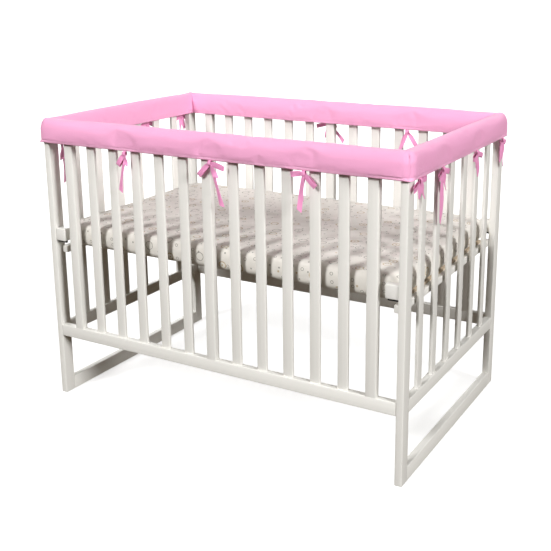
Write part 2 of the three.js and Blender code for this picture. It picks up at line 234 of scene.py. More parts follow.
class Finish:
    """A material whose nodes are made by name, with the Principled surface at its end."""

    def __init__(self, name, **constants):
        self.material = bpy.data.materials.new(name)
        self.material.use_nodes = True
        self.tree = self.material.node_tree
        self.surface = self.tree.nodes["Principled BSDF"]
        for socket, value in constants.items():
            self.surface.inputs[socket.replace("_", " ")].default_value = value

    def feed(self, socket, value):
        if isinstance(value, Wire):
            self.tree.links.new(value.socket, socket)
        elif value is not None:
            socket.default_value = value

    def node(self, kind, settings=None, *values, out=0, **named):
        """One output of a new node. Inputs are given in order, or by their labels."""
        made = self.tree.nodes.new(kind)
        for key, value in (settings or {}).items():
            if key == "stops":
                self.ramp(made, value)
            else:
                setattr(made, key, value)
        for index, value in enumerate(values):
            self.feed(made.inputs[index], value)
        for key, value in named.items():
            self.feed(made.inputs[key.replace("_", " ")], value)
        return Wire(self, made.outputs[out])

    def ramp(self, made, stops):
        bar = made.color_ramp
        while len(bar.elements) < len(stops):
            bar.elements.new(0.5)
        for element, (place, value) in zip(bar.elements, stops):
            element.position = place
            element.color = (value, value, value, 1)

    def place(self):
        """The object's own coordinates, in metres."""
        return self.node("ShaderNodeTexCoord", out=3)

    def part(self, vector, axis):
        return self.node("ShaderNodeSeparateXYZ", None, vector, out="XYZ".index(axis))

    def noise(self, vector, scale, detail, rough=0.5):
        inputs = {"Vector": vector, "Scale": scale, "Detail": detail, "Roughness": rough}
        return self.node("ShaderNodeTexNoise", None, **inputs)

    def distance(self, wire, value):
        """How far a value is from another, without its sign."""
        return self.node("ShaderNodeMath", {"operation": "ABSOLUTE"}, wire - value)

    def steps(self, wire, *stops):
        """A ramp through pairs of a place and a value."""
        return self.node("ShaderNodeValToRGB", {"stops": stops}, wire)

    def blend(self, share, first, second):
        """Two colours mixed, with the share of the second."""
        mix = self.tree.nodes.new("ShaderNodeMix")
        mix.data_type = "RGBA"
        self.feed(mix.inputs[0], share)
        self.feed(mix.inputs[6], first)
        self.feed(mix.inputs[7], second)
        return Wire(self, mix.outputs[2])

    def relief(self, height, distance, under=None):
        """A bump of a depth in metres, on top of another one if it is given."""
        bump = self.tree.nodes.new("ShaderNodeBump")
        bump.inputs["Strength"].default_value = 1.0
        bump.inputs["Distance"].default_value = distance
        self.feed(bump.inputs["Height"], height)
        if under:
            self.feed(bump.inputs["Normal"], under)
        return Wire(self, bump.outputs[0])

    def finish(self, **wires):
        for socket, wire in wires.items():
            self.feed(self.surface.inputs[socket.replace("_", " ")], wire)
        print("finish", self.material.name, len(self.tree.nodes), "nodes")
        return self.material


# %% [markdown]
# ## Cotton for the cover
#
# The cover is a soft pink cotton. Up close it is a fine even weave. From a step away it is matt,
# with faint uneven patches of a deeper pink, a painted shade of where the padding below is thick
# or thin. The threads follow the cloth, so they use its UV map, in metres. Across starts at the
# hem, and along starts at the nearer end, so the hem, its stitches and the seam at a corner are
# drawn from it too. The stitches are a paler thread. The hem and the seam are painted paler, as a
# painted highlight along the hem's edge and on the corner seam.

# %% Cotton
PINK = (0.95, 0.435, 0.68, 1)
# Deeper pink, for a fine random tone and for painted shade where the padding dips.
PINK_TONE_AND_SHADE = (0.92, 0.39, 0.645, 1)
# Paler pink: the stitch thread's own colour, and a painted highlight on the hem and the seam.
PINK_THREAD_AND_HIGHLIGHT = (1.0, 0.62, 0.80, 1)
THREAD = 0.0011
HEM_HEIGHT = 0.0095
SEAM_WIDTH = 0.004
STITCH_PITCH = 0.0045
STITCH_LINE = 0.0074
STITCH_HALF = 0.00045
STITCH_SHARE = -0.35
# The hem's and the seam's shares are painted highlights; the thread's share is its own colour.
HEM_HIGHLIGHT = 0.2
SEAM_HIGHLIGHT = 0.06
THREAD_PALER = 0.25
PADDING_DEPTH = 0.0009
SEWN_DEPTH = 0.0006
WEAVE_DEPTH = 0.00016
COTTON = {"Roughness": 0.86, "Specular_IOR_Level": 0.25, "Sheen_Weight": 0.25, "Sheen_Roughness": 0.5}


def make_cotton():
    f = Finish("pink_cotton", **COTTON)
    cloth = f.node("ShaderNodeTexCoord", out=2)
    along = f.part(cloth, "X")
    across = f.part(cloth, "Y")
    weave = along.wave(THREAD) * across.wave(THREAD)
    # Painted shade: slow patches of deeper pink stand for the padding's soft bulges and dips.
    patches = f.noise(f.place(), 9.0, 2.0)
    fuzz = f.noise(f.place(), 900.0, 2.0)
    shade = f.steps(patches, (0.30, 0.0), (0.72, 1.0))
    colour = f.blend(shade * 0.35 + fuzz * 0.12, PINK, PINK_TONE_AND_SHADE)
    in_hem = across < HEM_HEIGHT
    in_seam = along < SEAM_WIDTH
    on_line = f.distance(across, STITCH_LINE) < STITCH_HALF
    thread = (along.wave(STITCH_PITCH) > STITCH_SHARE) * on_line
    # Painted highlights: the hem band and the corner seam are painted paler; the stitches are a paler
    # thread.
    thread_and_highlight = in_hem * HEM_HIGHLIGHT + in_seam * SEAM_HIGHLIGHT + thread * THREAD_PALER
    colour = f.blend(thread_and_highlight, colour, PINK_THREAD_AND_HIGHLIGHT)
    padding = f.relief(f.noise(f.place(), 34.0, 2.0), PADDING_DEPTH)
    sewn = f.relief(in_hem * 0.6 + thread * 0.4, SEWN_DEPTH, under=padding)
    normal = f.relief(weave * 0.5 + fuzz * 0.6, WEAVE_DEPTH, under=sewn)
    return f.finish(Base_Color=colour, Roughness=0.82 + 0.1 * fuzz, Normal=normal)


cotton = make_cotton()

# %% [markdown]
# ## Ribbon
#
# The ties are narrow woven ribbon of a slightly deeper pink. A ribbon has fine ribs across it
# and a firm selvedge along each edge, and it shines a little more than the cotton.

# %% Ribbon
RIBBON_PINK = (0.92, 0.33, 0.61, 1)
RIBBON_LIGHT = (0.96, 0.42, 0.70, 1)
RIB_PITCH = 0.0009
RIB_DEPTH = 0.00012
SELVEDGE = ((0.78, 0.0), (0.86, 1.0))  # share of the half width, mask


def make_ribbon_cloth():
    f = Finish("pink_ribbon", Roughness=0.55, Specular_IOR_Level=0.4, Sheen_Weight=0.15)
    cloth = f.node("ShaderNodeTexCoord", out=2)
    along = f.part(cloth, "X")
    across = f.part(cloth, "Y")
    ribs = along.wave(RIB_PITCH)
    edge = f.steps(f.node("ShaderNodeMath", {"operation": "ABSOLUTE"}, across), *SELVEDGE)
    mottle = f.noise(f.place(), 60.0, 2.0)
    colour = f.blend(edge * 0.5 + mottle * 0.4, RIBBON_PINK, RIBBON_LIGHT)
    normal = f.relief(ribs * 0.5 + edge * 0.8, RIB_DEPTH)
    return f.finish(Base_Color=colour, Roughness=0.48 + 0.16 * mottle, Normal=normal)


ribbon_cloth = make_ribbon_cloth()

# %% [markdown]
# ## Painted wood
#
# The crib is beech under an off-white satin paint. The paint hides the colour of the wood but
# not all of its grain, so a stretched noise gives long faint ridges, and a slow one makes the
# coat slightly uneven. The grain of a board runs along it, so upright and level pieces have a
# paint of their own, stretched by a Mapping node.

# %% Painted wood
PAINT = (0.82, 0.81, 0.775, 1)
PAINT_WORN = (0.73, 0.715, 0.67, 1)
GRAIN_STRETCH = {"upright": (160, 160, 5), "along_x": (5, 160, 160), "along_y": (160, 5, 160)}
GRAIN_DEPTH = 0.00025


def make_paint(way):
    f = Finish(f"white_paint_{way}", Roughness=0.42, Specular_IOR_Level=0.4, Coat_Weight=0.08)
    stretched = f.node("ShaderNodeMapping", None, Vector=f.place(), Scale=GRAIN_STRETCH[way])
    grain = f.noise(stretched, 1.0, 4.0, 0.6)
    coat = f.noise(f.place(), 7.0, 2.0)
    specks = f.steps(f.noise(f.place(), 140.0, 1.0), (0.70, 0.0), (0.78, 1.0))
    colour = f.blend(grain * 0.22 + coat * 0.25 + specks * 0.08, PAINT, PAINT_WORN)
    normal = f.relief(grain + coat * 0.4, GRAIN_DEPTH)
    return f.finish(Base_Color=colour, Roughness=0.36 + 0.14 * coat + 0.06 * grain, Normal=normal)


paint = {way: make_paint(way) for way in GRAIN_STRETCH}

# %% [markdown]
# ## Mattress cloth
#
# The mattress has a cream cotton sheet with a small print of rings and dots in grey and ochre.
# A Voronoi pattern on the sheet's UV map gives each cell a random colour and its own middle. The
# distance to that middle draws a dot or a ring, and the random colour picks the cells with one.

# %% Mattress cloth
CREAM = (0.84, 0.815, 0.765, 1)
CREAM_SHADE = (0.76, 0.73, 0.67, 1)
PRINT_GREY = (0.22, 0.21, 0.18, 1)
PRINT_OCHRE = (0.44, 0.31, 0.12, 1)
BIG_PRINT_PITCH = 0.062
SMALL_PRINT_PITCH = 0.031
SHEET_THREAD = 0.0012
SHEET_DEPTH = 0.0003
RING = ((0.20, 0.0), (0.215, 1.0), (0.24, 1.0), (0.255, 0.0))  # share of the pitch, mask
OCHRE_RING = ((0.17, 0.0), (0.19, 1.0), (0.22, 1.0), (0.24, 0.0))
SMALL_RING = ((0.12, 0.0), (0.14, 1.0), (0.18, 1.0), (0.20, 0.0))
MIDDLE_DOT = ((0.06, 1.0), (0.09, 0.0))
DOT = ((0.10, 1.0), (0.135, 0.0))


def make_mattress_cloth():
    f = Finish("printed_cotton", Roughness=0.9, Specular_IOR_Level=0.2, Sheen_Weight=0.1)
    sheet = f.node("ShaderNodeTexCoord", out=2)
    here = f.place()
    wobble = f.noise(here, 260.0, 1.0) * 0.05
    cell = {"voronoi_dimensions": "2D", "feature": "F1"}

    def motif(pitch, low, high, shape):
        """A mask of one shape in those cells whose chance lies between low and high."""
        where = {"Vector": sheet, "Randomness": 0.6, "Scale": 1 / pitch}
        reach = f.node("ShaderNodeTexVoronoi", cell, **where)
        chance = f.part(f.node("ShaderNodeTexVoronoi", cell, out=1, **where), "X")
        return f.steps(reach + wobble, *shape) * (chance > low) * (chance < high)

    rings = motif(BIG_PRINT_PITCH, 0.0, 0.34, RING)
    ochre = motif(BIG_PRINT_PITCH, 0.42, 0.78, OCHRE_RING)
    middles = motif(BIG_PRINT_PITCH, 0.60, 0.95, MIDDLE_DOT)
    dots = motif(SMALL_PRINT_PITCH, 0.0, 0.45, DOT)
    small_rings = motif(SMALL_PRINT_PITCH, 0.62, 1.0, SMALL_RING)
    ground = f.blend(f.noise(here, 12.0, 2.0), CREAM, CREAM_SHADE)
    grey = f.blend((rings + dots + small_rings) * 0.7, ground, PRINT_GREY)
    colour = f.blend((ochre + middles) * 0.75, grey, PRINT_OCHRE)
    weave = f.part(here, "X").wave(SHEET_THREAD) * f.part(here, "Y").wave(SHEET_THREAD)
    normal = f.relief(weave * 0.4 + f.noise(here, 45.0, 3.0) * 3.0, SHEET_DEPTH)
    return f.finish(Base_Color=colour, Normal=normal)


mattress_cloth = make_mattress_cloth()

# %% [markdown]
# ## Bare wood and dark steel
#
# The mattress lies on a plain board, which nobody painted, and a dark bolt sits under the block
# in each corner. They are mostly in the shade, so a simple grain and a brushed steel are enough.

# %% Bare wood and dark steel
PLY_PALE = (0.62, 0.52, 0.40, 1)
PLY_GRAIN = (0.47, 0.37, 0.26, 1)
PLY_STRETCH = (6, 90, 90)
PLY_DEPTH = 0.0004
STEEL = (0.035, 0.035, 0.04, 1)
STEEL_WORN = (0.09, 0.09, 0.095, 1)
SCRATCH_DEPTH = 0.00005


def make_bare_wood():
    f = Finish("bare_wood", Roughness=0.7, Specular_IOR_Level=0.3)
    stretched = f.node("ShaderNodeMapping", None, Vector=f.place(), Scale=PLY_STRETCH)
    grain = f.noise(stretched, 1.0, 5.0, 0.6)
    colour = f.blend(f.steps(grain, (0.35, 0.0), (0.7, 1.0)), PLY_PALE, PLY_GRAIN)
    return f.finish(Base_Color=colour, Normal=f.relief(grain, PLY_DEPTH))


def make_dark_steel():
    f = Finish("dark_steel", Metallic=0.85, Roughness=0.4)
    scratch = f.noise(f.place(), 700.0, 2.0)
    colour = f.blend(scratch, STEEL, STEEL_WORN)
    normal = f.relief(scratch, SCRATCH_DEPTH)
    return f.finish(Base_Color=colour, Roughness=0.3 + 0.25 * scratch, Normal=normal)


bare_wood = make_bare_wood()
dark_steel = make_dark_steel()

# %% [markdown]
# ## Small tools for pieces
#
# Every piece is a mesh with its place in its points. `piece` links one to the scene with its
# material, hangs it under the root body and hides the solid of the frame that it stands for.

# %% Small tools for pieces
BEVEL_STEPS = 3
WOOD_CREASE = 35
CLOTH_CREASE = 50


def piece(name, mesh, material, slot, *nodes):
    mesh.materials.clear()
    mesh.materials.append(material)
    mesh.polygons.foreach_set("use_smooth", [True] * len(mesh.polygons))
    made = bpy.data.objects.new(name, mesh)
    bpy.context.scene.collection.objects.link(made)
    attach(made, "root")
    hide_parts(*nodes)
    return made


def bevelled_box(low, high, edge):
    """A board with its edges rounded over, as a bmesh."""
    bm = bmesh.new()
    bmesh.ops.create_cube(bm, size=1.0)
    size = Vector(high) - Vector(low)
    middle = (Vector(high) + Vector(low)) / 2
    placing = Matrix.Translation(middle) @ Matrix.Diagonal(size).to_4x4()
    bmesh.ops.transform(bm, matrix=placing, verts=bm.verts)
    rounding = {"offset": edge, "segments": BEVEL_STEPS, "profile": 0.5, "affect": "EDGES"}
    bmesh.ops.bevel(bm, geom=list(bm.edges), **rounding)
    bmesh.ops.recalc_face_normals(bm, faces=bm.faces)
    return bm


def joined(name, parts):
    """One mesh from several bmeshes, which are used up."""
    whole = bmesh.new()
    for part in parts:
        spare = bpy.data.meshes.new("spare")
        part.to_mesh(spare)
        part.free()
        whole.from_mesh(spare)
        bpy.data.meshes.remove(spare)
    mesh = bpy.data.meshes.new(name)
    whole.to_mesh(mesh)
    whole.free()
    return mesh


def shade_by_angle(made, degrees=WOOD_CREASE):
    """Flat faces stay flat, and rounded edges look round."""
    limit = math.radians(degrees)
    bm = bmesh.new()
    bm.from_mesh(made.data)
    for edge in bm.edges:
        edge.smooth = len(edge.link_faces) == 2 and edge.calc_face_angle() < limit
    bm.to_mesh(made.data)
    bm.free()


# %% [markdown]
# ## Bars by Geometry Nodes
#
# A slatted side is one bar over and over at an even pitch. On the long sides the first bar and
# every sixth after it is a thicker stile. The tree lays out a line of points, and sets a stile on
# each multiple of a number and a slat on the others. Then it realizes the instances, because an
# instance isn't a mesh yet, and paints them.

# %% Bars by Geometry Nodes
BAR_INPUTS = {
    "Slat": "Object",
    "Stile": "Object",
    "Count": "Int",
    "First": "Vector",
    "Step": "Vector",
    "Stile Every": "Int",
    "Paint": "Material",
}


def bar_tree():
    tree = bpy.data.node_groups.new("bars_on_a_rail", "GeometryNodeTree")
    for name, kind in BAR_INPUTS.items():
        tree.interface.new_socket(name, in_out="INPUT", socket_type=f"NodeSocket{kind}")
    tree.interface.new_socket("Bars", in_out="OUTPUT", socket_type="NodeSocketGeometry")
    given = tree.nodes.new("NodeGroupInput")

    def node(kind, settings=None, **inputs):
        """A node. An input is named by its label, or by _ and its number."""
        made = tree.nodes.new(kind)
        for key, value in (settings or {}).items():
            setattr(made, key, value)
        for key, value in inputs.items():
            number = key[1:]
            socket = made.inputs[int(number) if number.isdigit() else key.replace("_", " ")]
            if hasattr(value, "is_output"):
                tree.links.new(value, socket)
            else:
                socket.default_value = value
        return made

    line = node(
        "GeometryNodeMeshLine",
        {"mode": "OFFSET"},
        Count=given.outputs["Count"],
        Start_Location=given.outputs["First"],
        Offset=given.outputs["Step"],
    )
    index = node("GeometryNodeInputIndex").outputs[0]
    every = given.outputs["Stile Every"]
    rest_of = node("ShaderNodeMath", {"operation": "MODULO"}, _0=index, _1=every)
    both = tree.nodes.new("GeometryNodeJoinGeometry")
    for name, test in (("Slat", "GREATER_THAN"), ("Stile", "LESS_THAN")):
        chosen = node("ShaderNodeMath", {"operation": test}, _0=rest_of.outputs[0], _1=0.5)
        shape = node("GeometryNodeObjectInfo", None, Object=given.outputs[name])
        copies = node(
            "GeometryNodeInstanceOnPoints",
            None,
            Points=line.outputs[0],
            Selection=chosen.outputs[0],
            Instance=shape.outputs["Geometry"],
        )
        tree.links.new(copies.outputs[0], both.inputs[0])
    real = node("GeometryNodeRealizeInstances", None, _0=both.outputs[0])
    coat = node(
        "GeometryNodeSetMaterial",
        None,
        Geometry=real.outputs[0],
        Material=given.outputs["Paint"],
    )
    result = tree.nodes.new("NodeGroupOutput")
    tree.links.new(coat.outputs[0], result.inputs[0])
    return tree


BAR_TREE = bar_tree()


def bars(**values):
    """Slats and stiles on a line, as a bmesh. Slat and Stile are given as bmeshes."""
    holders = []
    for name in ("Slat", "Stile"):
        holders.append(bpy.data.objects.new(name, joined(name, [values[name]])))
        values[name] = holders[-1]
    holders.append(bpy.data.objects.new("bars", bpy.data.meshes.new("bars")))
    for holder in holders:
        bpy.context.scene.collection.objects.link(holder)
    modifier = holders[-1].modifiers.new("bars", "NODES")
    modifier.node_group = BAR_TREE
    for item in BAR_TREE.interface.items_tree:
        if item.in_out == "INPUT":
            modifier[item.identifier] = values[item.name.replace(" ", "_")]
    holders[-1].update_tag()
    seen = holders[-1].evaluated_get(bpy.context.evaluated_depsgraph_get())
    made = bpy.data.meshes.new_from_object(seen)
    result = bmesh.new()
    result.from_mesh(made)
    bpy.data.meshes.remove(made)
    for holder in holders:
        bpy.data.objects.remove(holder)
    return result


# %% [markdown]
# ## The crib
#
# Posts, runners, battens and the blocks in the corners are sawn boards with their edges rounded
# over. A slatted side is a top rail, a bottom rail and the bars between them. Rails and bars
# have no box of their own, so their sizes are named here. The rest comes from the frame. The
# bolts keep the solid that the frame gives them, in dark steel.

# %% The crib
BARS_OF = {  # axis the side runs along, number of bars
    "side_front": (0, 13),
    "side_back": (0, 13),
    "end_left": (1, 6),
    "end_right": (1, 6),
}
STILE_EVERY = 6
SLAT_WIDTH = 32 * MM
SLAT_THICK = 10 * MM
RAIL_THICK = 22 * MM
STILE_SHY = 0.4 * MM
RAIL_HEIGHT = 40 * MM
BOTTOM_RAIL_HEIGHT = 39 * MM
EDGE = 2.2 * MM
BAR_EDGE = 2.6 * MM
HIDDEN_IN_RAIL = 3 * MM

first_post = [Vector(corner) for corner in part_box("post_front_left")]
last_post = [Vector(corner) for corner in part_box("post_back_right")]
POST_SPAN = last_post[0] - first_post[0]


def slatted_side(node, long_axis, count):
    """One side of the crib. long_axis is 0 along X and 1 along Y."""
    low, high = (Vector(corner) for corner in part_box(node))
    pitch = POST_SPAN[long_axis] / (count + 1)
    way = Vector((0, 0, 0))
    way[long_axis] = pitch
    parts = []
    for start, height in ((low.z, BOTTOM_RAIL_HEIGHT), (high.z - RAIL_HEIGHT, RAIL_HEIGHT)):
        foot = Vector((low.x, low.y, start))
        head = Vector((high.x, high.y, start + height))
        parts.append(bevelled_box(foot, head, EDGE))

    def one_bar(thick):
        half = Vector((thick / 2, thick / 2, 0))
        half[long_axis] = SLAT_WIDTH / 2
        foot = Vector((0, 0, low.z + BOTTOM_RAIL_HEIGHT - HIDDEN_IN_RAIL))
        head = Vector((0, 0, high.z - RAIL_HEIGHT + HIDDEN_IN_RAIL))
        return bevelled_box(foot - half, head + half, BAR_EDGE)

    middle = (low + high) / 2
    first = Vector((middle.x, middle.y, 0)) - way * (count - 1) / 2
    stile = RAIL_THICK - STILE_SHY if long_axis == 0 else SLAT_THICK
    parts.append(bars(
        Slat=one_bar(SLAT_THICK),
        Stile=one_bar(stile),
        Count=count,
        First=first,
        Step=way,
        Stile_Every=STILE_EVERY,
        Paint=paint["upright"],
    ))
    made = piece(f"painted_{node}", joined(node, parts), paint["upright"], "painted_wood", node)
    made.data.materials.append(paint["along_y" if long_axis else "along_x"])
    rail_top = low.z + BOTTOM_RAIL_HEIGHT + MM
    rail_foot = high.z - RAIL_HEIGHT - MM
    for face in made.data.polygons:
        spread = [made.data.vertices[v].co.z for v in face.vertices]
        face.material_index = int(max(spread) < rail_top or min(spread) > rail_foot)
    shade_by_angle(made)
    print(node, count, "bars at", round(pitch * 1000, 1), "mm,", len(made.data.polygons), "faces")


for side_node, (axis, bar_count) in BARS_OF.items():
    slatted_side(side_node, axis, bar_count)

BOARD_EDGE = 0.8 * MM
COAT_OF = {"post": "upright", "bracket": "upright", "runner": "along_y", "batten": "along_y"}
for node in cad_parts:
    kind = node.split("_")[0]
    if kind in COAT_OF:
        board = joined(node, [bevelled_box(*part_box(node), EDGE)])
        shade_by_angle(piece(f"painted_{node}", board, paint[COAT_OF[kind]], "painted_wood", node))
    elif node == "mattress_board":
        board = joined(node, [bevelled_box(*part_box(node), BOARD_EDGE)])
        shade_by_angle(piece(f"plain_{node}", board, bare_wood, "plain_wood", node))
    elif kind == "bolt":
        bolt = bpy.data.objects[node]
        bolt.data.materials.clear()
        bolt.data.materials.append(dark_steel)

# %% [markdown]
# ## Where the ties are
#
# Each tie stands at a place along its side, in a gap between two bars. The ties come first,
# because the padding is drawn in near each of them. A face of 1 knots it outside and -1 inside. A
# loop has a length and a fall, an end has a length and a lean, and a length of nought leaves a
# loop out. Lengths are in millimetres and angles in degrees.

# %% Where the ties are
TIE_COLUMNS = (
    "side", "at", "face",
    "loop_a", "fall_a", "loop_b", "fall_b",
    "end_a", "lean_a", "end_b", "lean_b",
)
TIE_ROWS = {
    "tie_front_1": ("front", -284, 1, 44, 52, 0, 0, 120, -14, 34, 6),
    "tie_front_2": ("front", 23, 1, 52, 42, 48, 10, 128, 20, 46, 34),
    "tie_front_3": ("front", 325, 1, 40, 4, 46, 40, 72, -10, 104, -9),
    "tie_right_1": ("right", -343, 1, 42, 22, 40, -4, 48, 8, 62, 36),
    "tie_right_2": ("right", -181, 1, 34, 34, 46, 12, 150, 0, 66, 24),
    "tie_right_3": ("right", 94, 1, 30, 30, 52, 12, 84, 26, 40, -12),
    "tie_right_4": ("right", 343, 1, 24, 20, 30, 16, 70, -6, 84, 8),
    "tie_back_1": ("back", -300, -1, 0, 0, 0, 0, 76, -40, 66, 26),
    "tie_back_2": ("back", 22, 1, 34, 20, 48, 10, 96, -52, 50, 12),
    "tie_left_1": ("left", -343, 1, 36, 24, 34, 18, 58, -16, 66, 12),
    "tie_left_2": ("left", -135, 1, 38, 20, 36, 24, 64, -12, 70, 16),
    "tie_left_3": ("left", 343, -1, 0, 0, 0, 0, 128, -4, 52, 8),
}
FAR_END = {"tie": "tie_left_3", "length": 40, "lean": 6}
TIES = {name: dict(zip(TIE_COLUMNS, row)) for name, row in TIE_ROWS.items()}
rail_x = sum(corner[0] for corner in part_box("end_right")) / 2
rail_y = sum(corner[1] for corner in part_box("side_back")) / 2
RUNS = {
    "front": {"half": rail_x, "off": rail_y, "along": (1, 0), "out": (0, -1)},
    "right": {"half": rail_y, "off": rail_x, "along": (0, 1), "out": (1, 0)},
    "back": {"half": rail_x, "off": rail_y, "along": (-1, 0), "out": (0, 1)},
    "left": {"half": rail_y, "off": rail_x, "along": (0, -1), "out": (-1, 0)},
}


def on_run(run, at, out, z):
    """A point at a place along a side, out from the middle of its rail, at a height."""
    reach = run["off"] + out
    x, y = (along * at + away * reach for along, away in zip(run["along"], run["out"]))
    return Vector((x, y, z))


print(len(TIES), "ties, rails", round(rail_x, 3), round(rail_y, 3), "from the middle")

# %% [markdown]
# ## The padded cover
#
# In section each side of the cover is an upside-down U: cloth and padding over the top of the
# rail and down both its faces, with a slot between for the rail and the bars. The section is
# given by a few rows, drawn as a smooth curve, and carried along the rail. At a corner the outer
# side is rounded over, and the strip ends on the 45 degree line, where its neighbour starts. The
# skin starts a little small, and a short cloth simulation swells it between hems, seams and ties.

# %% The padded cover
COVER_TOP = 930 * MM
COVER_LOW = 854 * MM
COVER_HALF = 29 * MM
SLOT_HALF = 13 * MM
RAIL_TOP = 915 * MM
SEAM_GAP = 0.3 * MM
CORNER_ZONE = 52 * MM
LEAST_SWEEP = 12 * MM
MITRE = math.radians(45)
TIE_PINCH = 3.5 * MM
PINCH_REACH = 70 * MM
CORNER_PINCH = 0.4
BELLY_LIFT = 0.15
PUFFS = ((41 * MM, 0.0, 0.5), (97 * MM, 1.0, 0.8))  # length, start, height in millimetres
STATION_STEP = 5 * MM
CORNER_STATIONS = 14
PER_ROW = 5
SEAM_TUCK = 1.0 * MM
SEAM_REACH = 0.25
START_SMALLER = 1.0 * MM
SMALLER_RISE = 6
SECTION = (  # share of the half width, share of the height, radius of the outer corner
    (0.78, 0.0, 10),
    (0.87, 0.035, 20),
    (0.90, 0.11, 30),
    (0.965, 0.16, 34),
    (1.00, 0.26, 36),
    (0.99, 0.42, 36),
    (0.94, 0.62, 34),
    (0.80, 0.81, 36),
    (0.54, 0.94, 24),
    (0.18, 1.0, 8),
)
SLOT = (  # share of the half slot, height
    (1.06, COVER_LOW),
    (1.0, COVER_LOW + 6 * MM),
    (1.0, RAIL_TOP - 30 * MM),
    (1.0, RAIL_TOP - 6 * MM),
    (0.98, RAIL_TOP + 0.3 * MM),
)


def smooth_rows(rows, per_row):
    """Points on a smooth curve through the rows (Catmull-Rom)."""
    rows = np.array(rows, float)
    padded = np.vstack([2 * rows[0] - rows[1], rows, 2 * rows[-1] - rows[-2]])
    points = []
    for a, b, c, d in zip(padded, padded[1:], padded[2:], padded[3:]):
        for t in np.arange(per_row) / per_row:
            curve = 2 * a - 5 * b + 4 * c - d
            twist = 3 * b - a - 3 * c + d
            points.append(0.5 * (2 * b + (c - a) * t + curve * t**2 + twist * t**3))
    points.append(rows[-1])
    return np.array(points)


outer_rows = [(out, up, radius * MM) for out, up, radius in SECTION]
inner_rows = [(-out, up, 0.0) for out, up, _ in reversed(SECTION)]
PROFILE = smooth_rows(outer_rows + inner_rows, PER_ROW)


def pinch(side, at):
    """How far the padding is drawn in near the ties of a side, from 0 to 1."""
    near = min(abs(at - tie["at"] * MM) for tie in TIES.values() if tie["side"] == side)
    return math.exp(-((near / PINCH_REACH) ** 2))


def cover_stations(half):
    """Places along a side: an end of -1, 0 or 1, and a share of its turn or a way in metres."""
    steps = round(2 * (half - CORNER_ZONE) / STATION_STEP)
    straight = np.linspace(CORNER_ZONE - half, half - CORNER_ZONE, steps + 1)
    turns = np.arange(1, CORNER_STATIONS + 1) / CORNER_STATIONS
    return [(-1, t) for t in turns[::-1]] + [(0, at) for at in straight] + [(1, t) for t in turns]


def cover_ring(side, end, value):
    """The closed section of a side at one station, as points."""
    run = RUNS[side]
    at = value if end == 0 else end * run["half"]
    drawn_in = pinch(side, at) if end == 0 else CORNER_PINCH
    puff = sum(math.sin(at / length + start) * height for length, start, height in PUFFS) * MM

    def place(out, z, radius):
        if end == 0:
            return on_run(run, value, out, z)
        angle = MITRE * value
        corner = run["half"] + out - radius * (1 - math.sin(MITRE))
        sweep = max(radius, LEAST_SWEEP) * (math.sin(MITRE) - math.sin(angle))
        out -= radius * (1 - math.cos(angle))
        return on_run(run, end * (corner - sweep - SEAM_GAP / 2), out, z)

    tuck = SEAM_TUCK * max(0.0, (value - 1) / SEAM_REACH + 1) ** 2 if end else 0.0
    ring = []
    for out, up, radius in PROFILE:
        belly = math.sin(math.pi * min(1.0, up + BELLY_LIFT))
        half = min(COVER_HALF - drawn_in * TIE_PINCH * belly + puff * belly * up, COVER_HALF)
        half -= (START_SMALLER + tuck) * min(1.0, up * SMALLER_RISE)
        z = COVER_LOW + up * (COVER_TOP - COVER_LOW - START_SMALLER - tuck)
        ring.append(place(out * half, z, max(0.0, radius) if out > 0 else 0.0))
    for share, z in SLOT:
        ring.append(place(-share * SLOT_HALF, z, 0.0))
    for share, z in reversed(SLOT):
        ring.append(place(share * SLOT_HALF, z, 0.0))
    return ring


def lofted(name, rings):
    """A closed skin through rings. UV is metres from the nearer end and metres across."""
    bm = bmesh.new()
    layers = [[bm.verts.new(point) for point in ring] for ring in rings]
    uv = bm.loops.layers.uv.new("cloth")
    along = [0.0]
    for before, after in zip(rings, rings[1:]):
        along.append(along[-1] + max((Vector(b) - Vector(a)).length for a, b in zip(before, after)))
    along = [min(way, along[-1] - way) for way in along]
    across = [0.0]
    loop = rings[len(rings) // 2]
    for a, b in zip(loop, loop[1:] + loop[:1]):
        across.append(across[-1] + (Vector(b) - Vector(a)).length)
    count = len(rings[0])
    for r in range(len(rings) - 1):
        for i in range(count):
            corners = ((r, i), (r, i + 1), (r + 1, i + 1), (r + 1, i))
            face = bm.faces.new([layers[row][column % count] for row, column in corners])
            for corner, (row, column) in zip(face.loops, corners):
                corner[uv].uv = (along[row], across[column])
    bm.faces.new(layers[0])
    bm.faces.new(layers[-1])
    bmesh.ops.recalc_face_normals(bm, faces=bm.faces)
    mesh = bpy.data.meshes.new(name)
    bm.to_mesh(mesh)
    bm.free()
    return mesh


SWELL_FRAMES = 10
SWELL_MOST = 2.2 * MM
CLOTH_SETTINGS = {
    "quality": 4,
    "mass": 0.15,
    "tension_stiffness": 20,
    "compression_stiffness": 20,
    "shear_stiffness": 12,
    "bending_stiffness": 20,
    "use_pressure": True,
    "uniform_pressure_force": 3.0,
    "shrink_min": -0.002,
    "vertex_group_mass": "held",
}


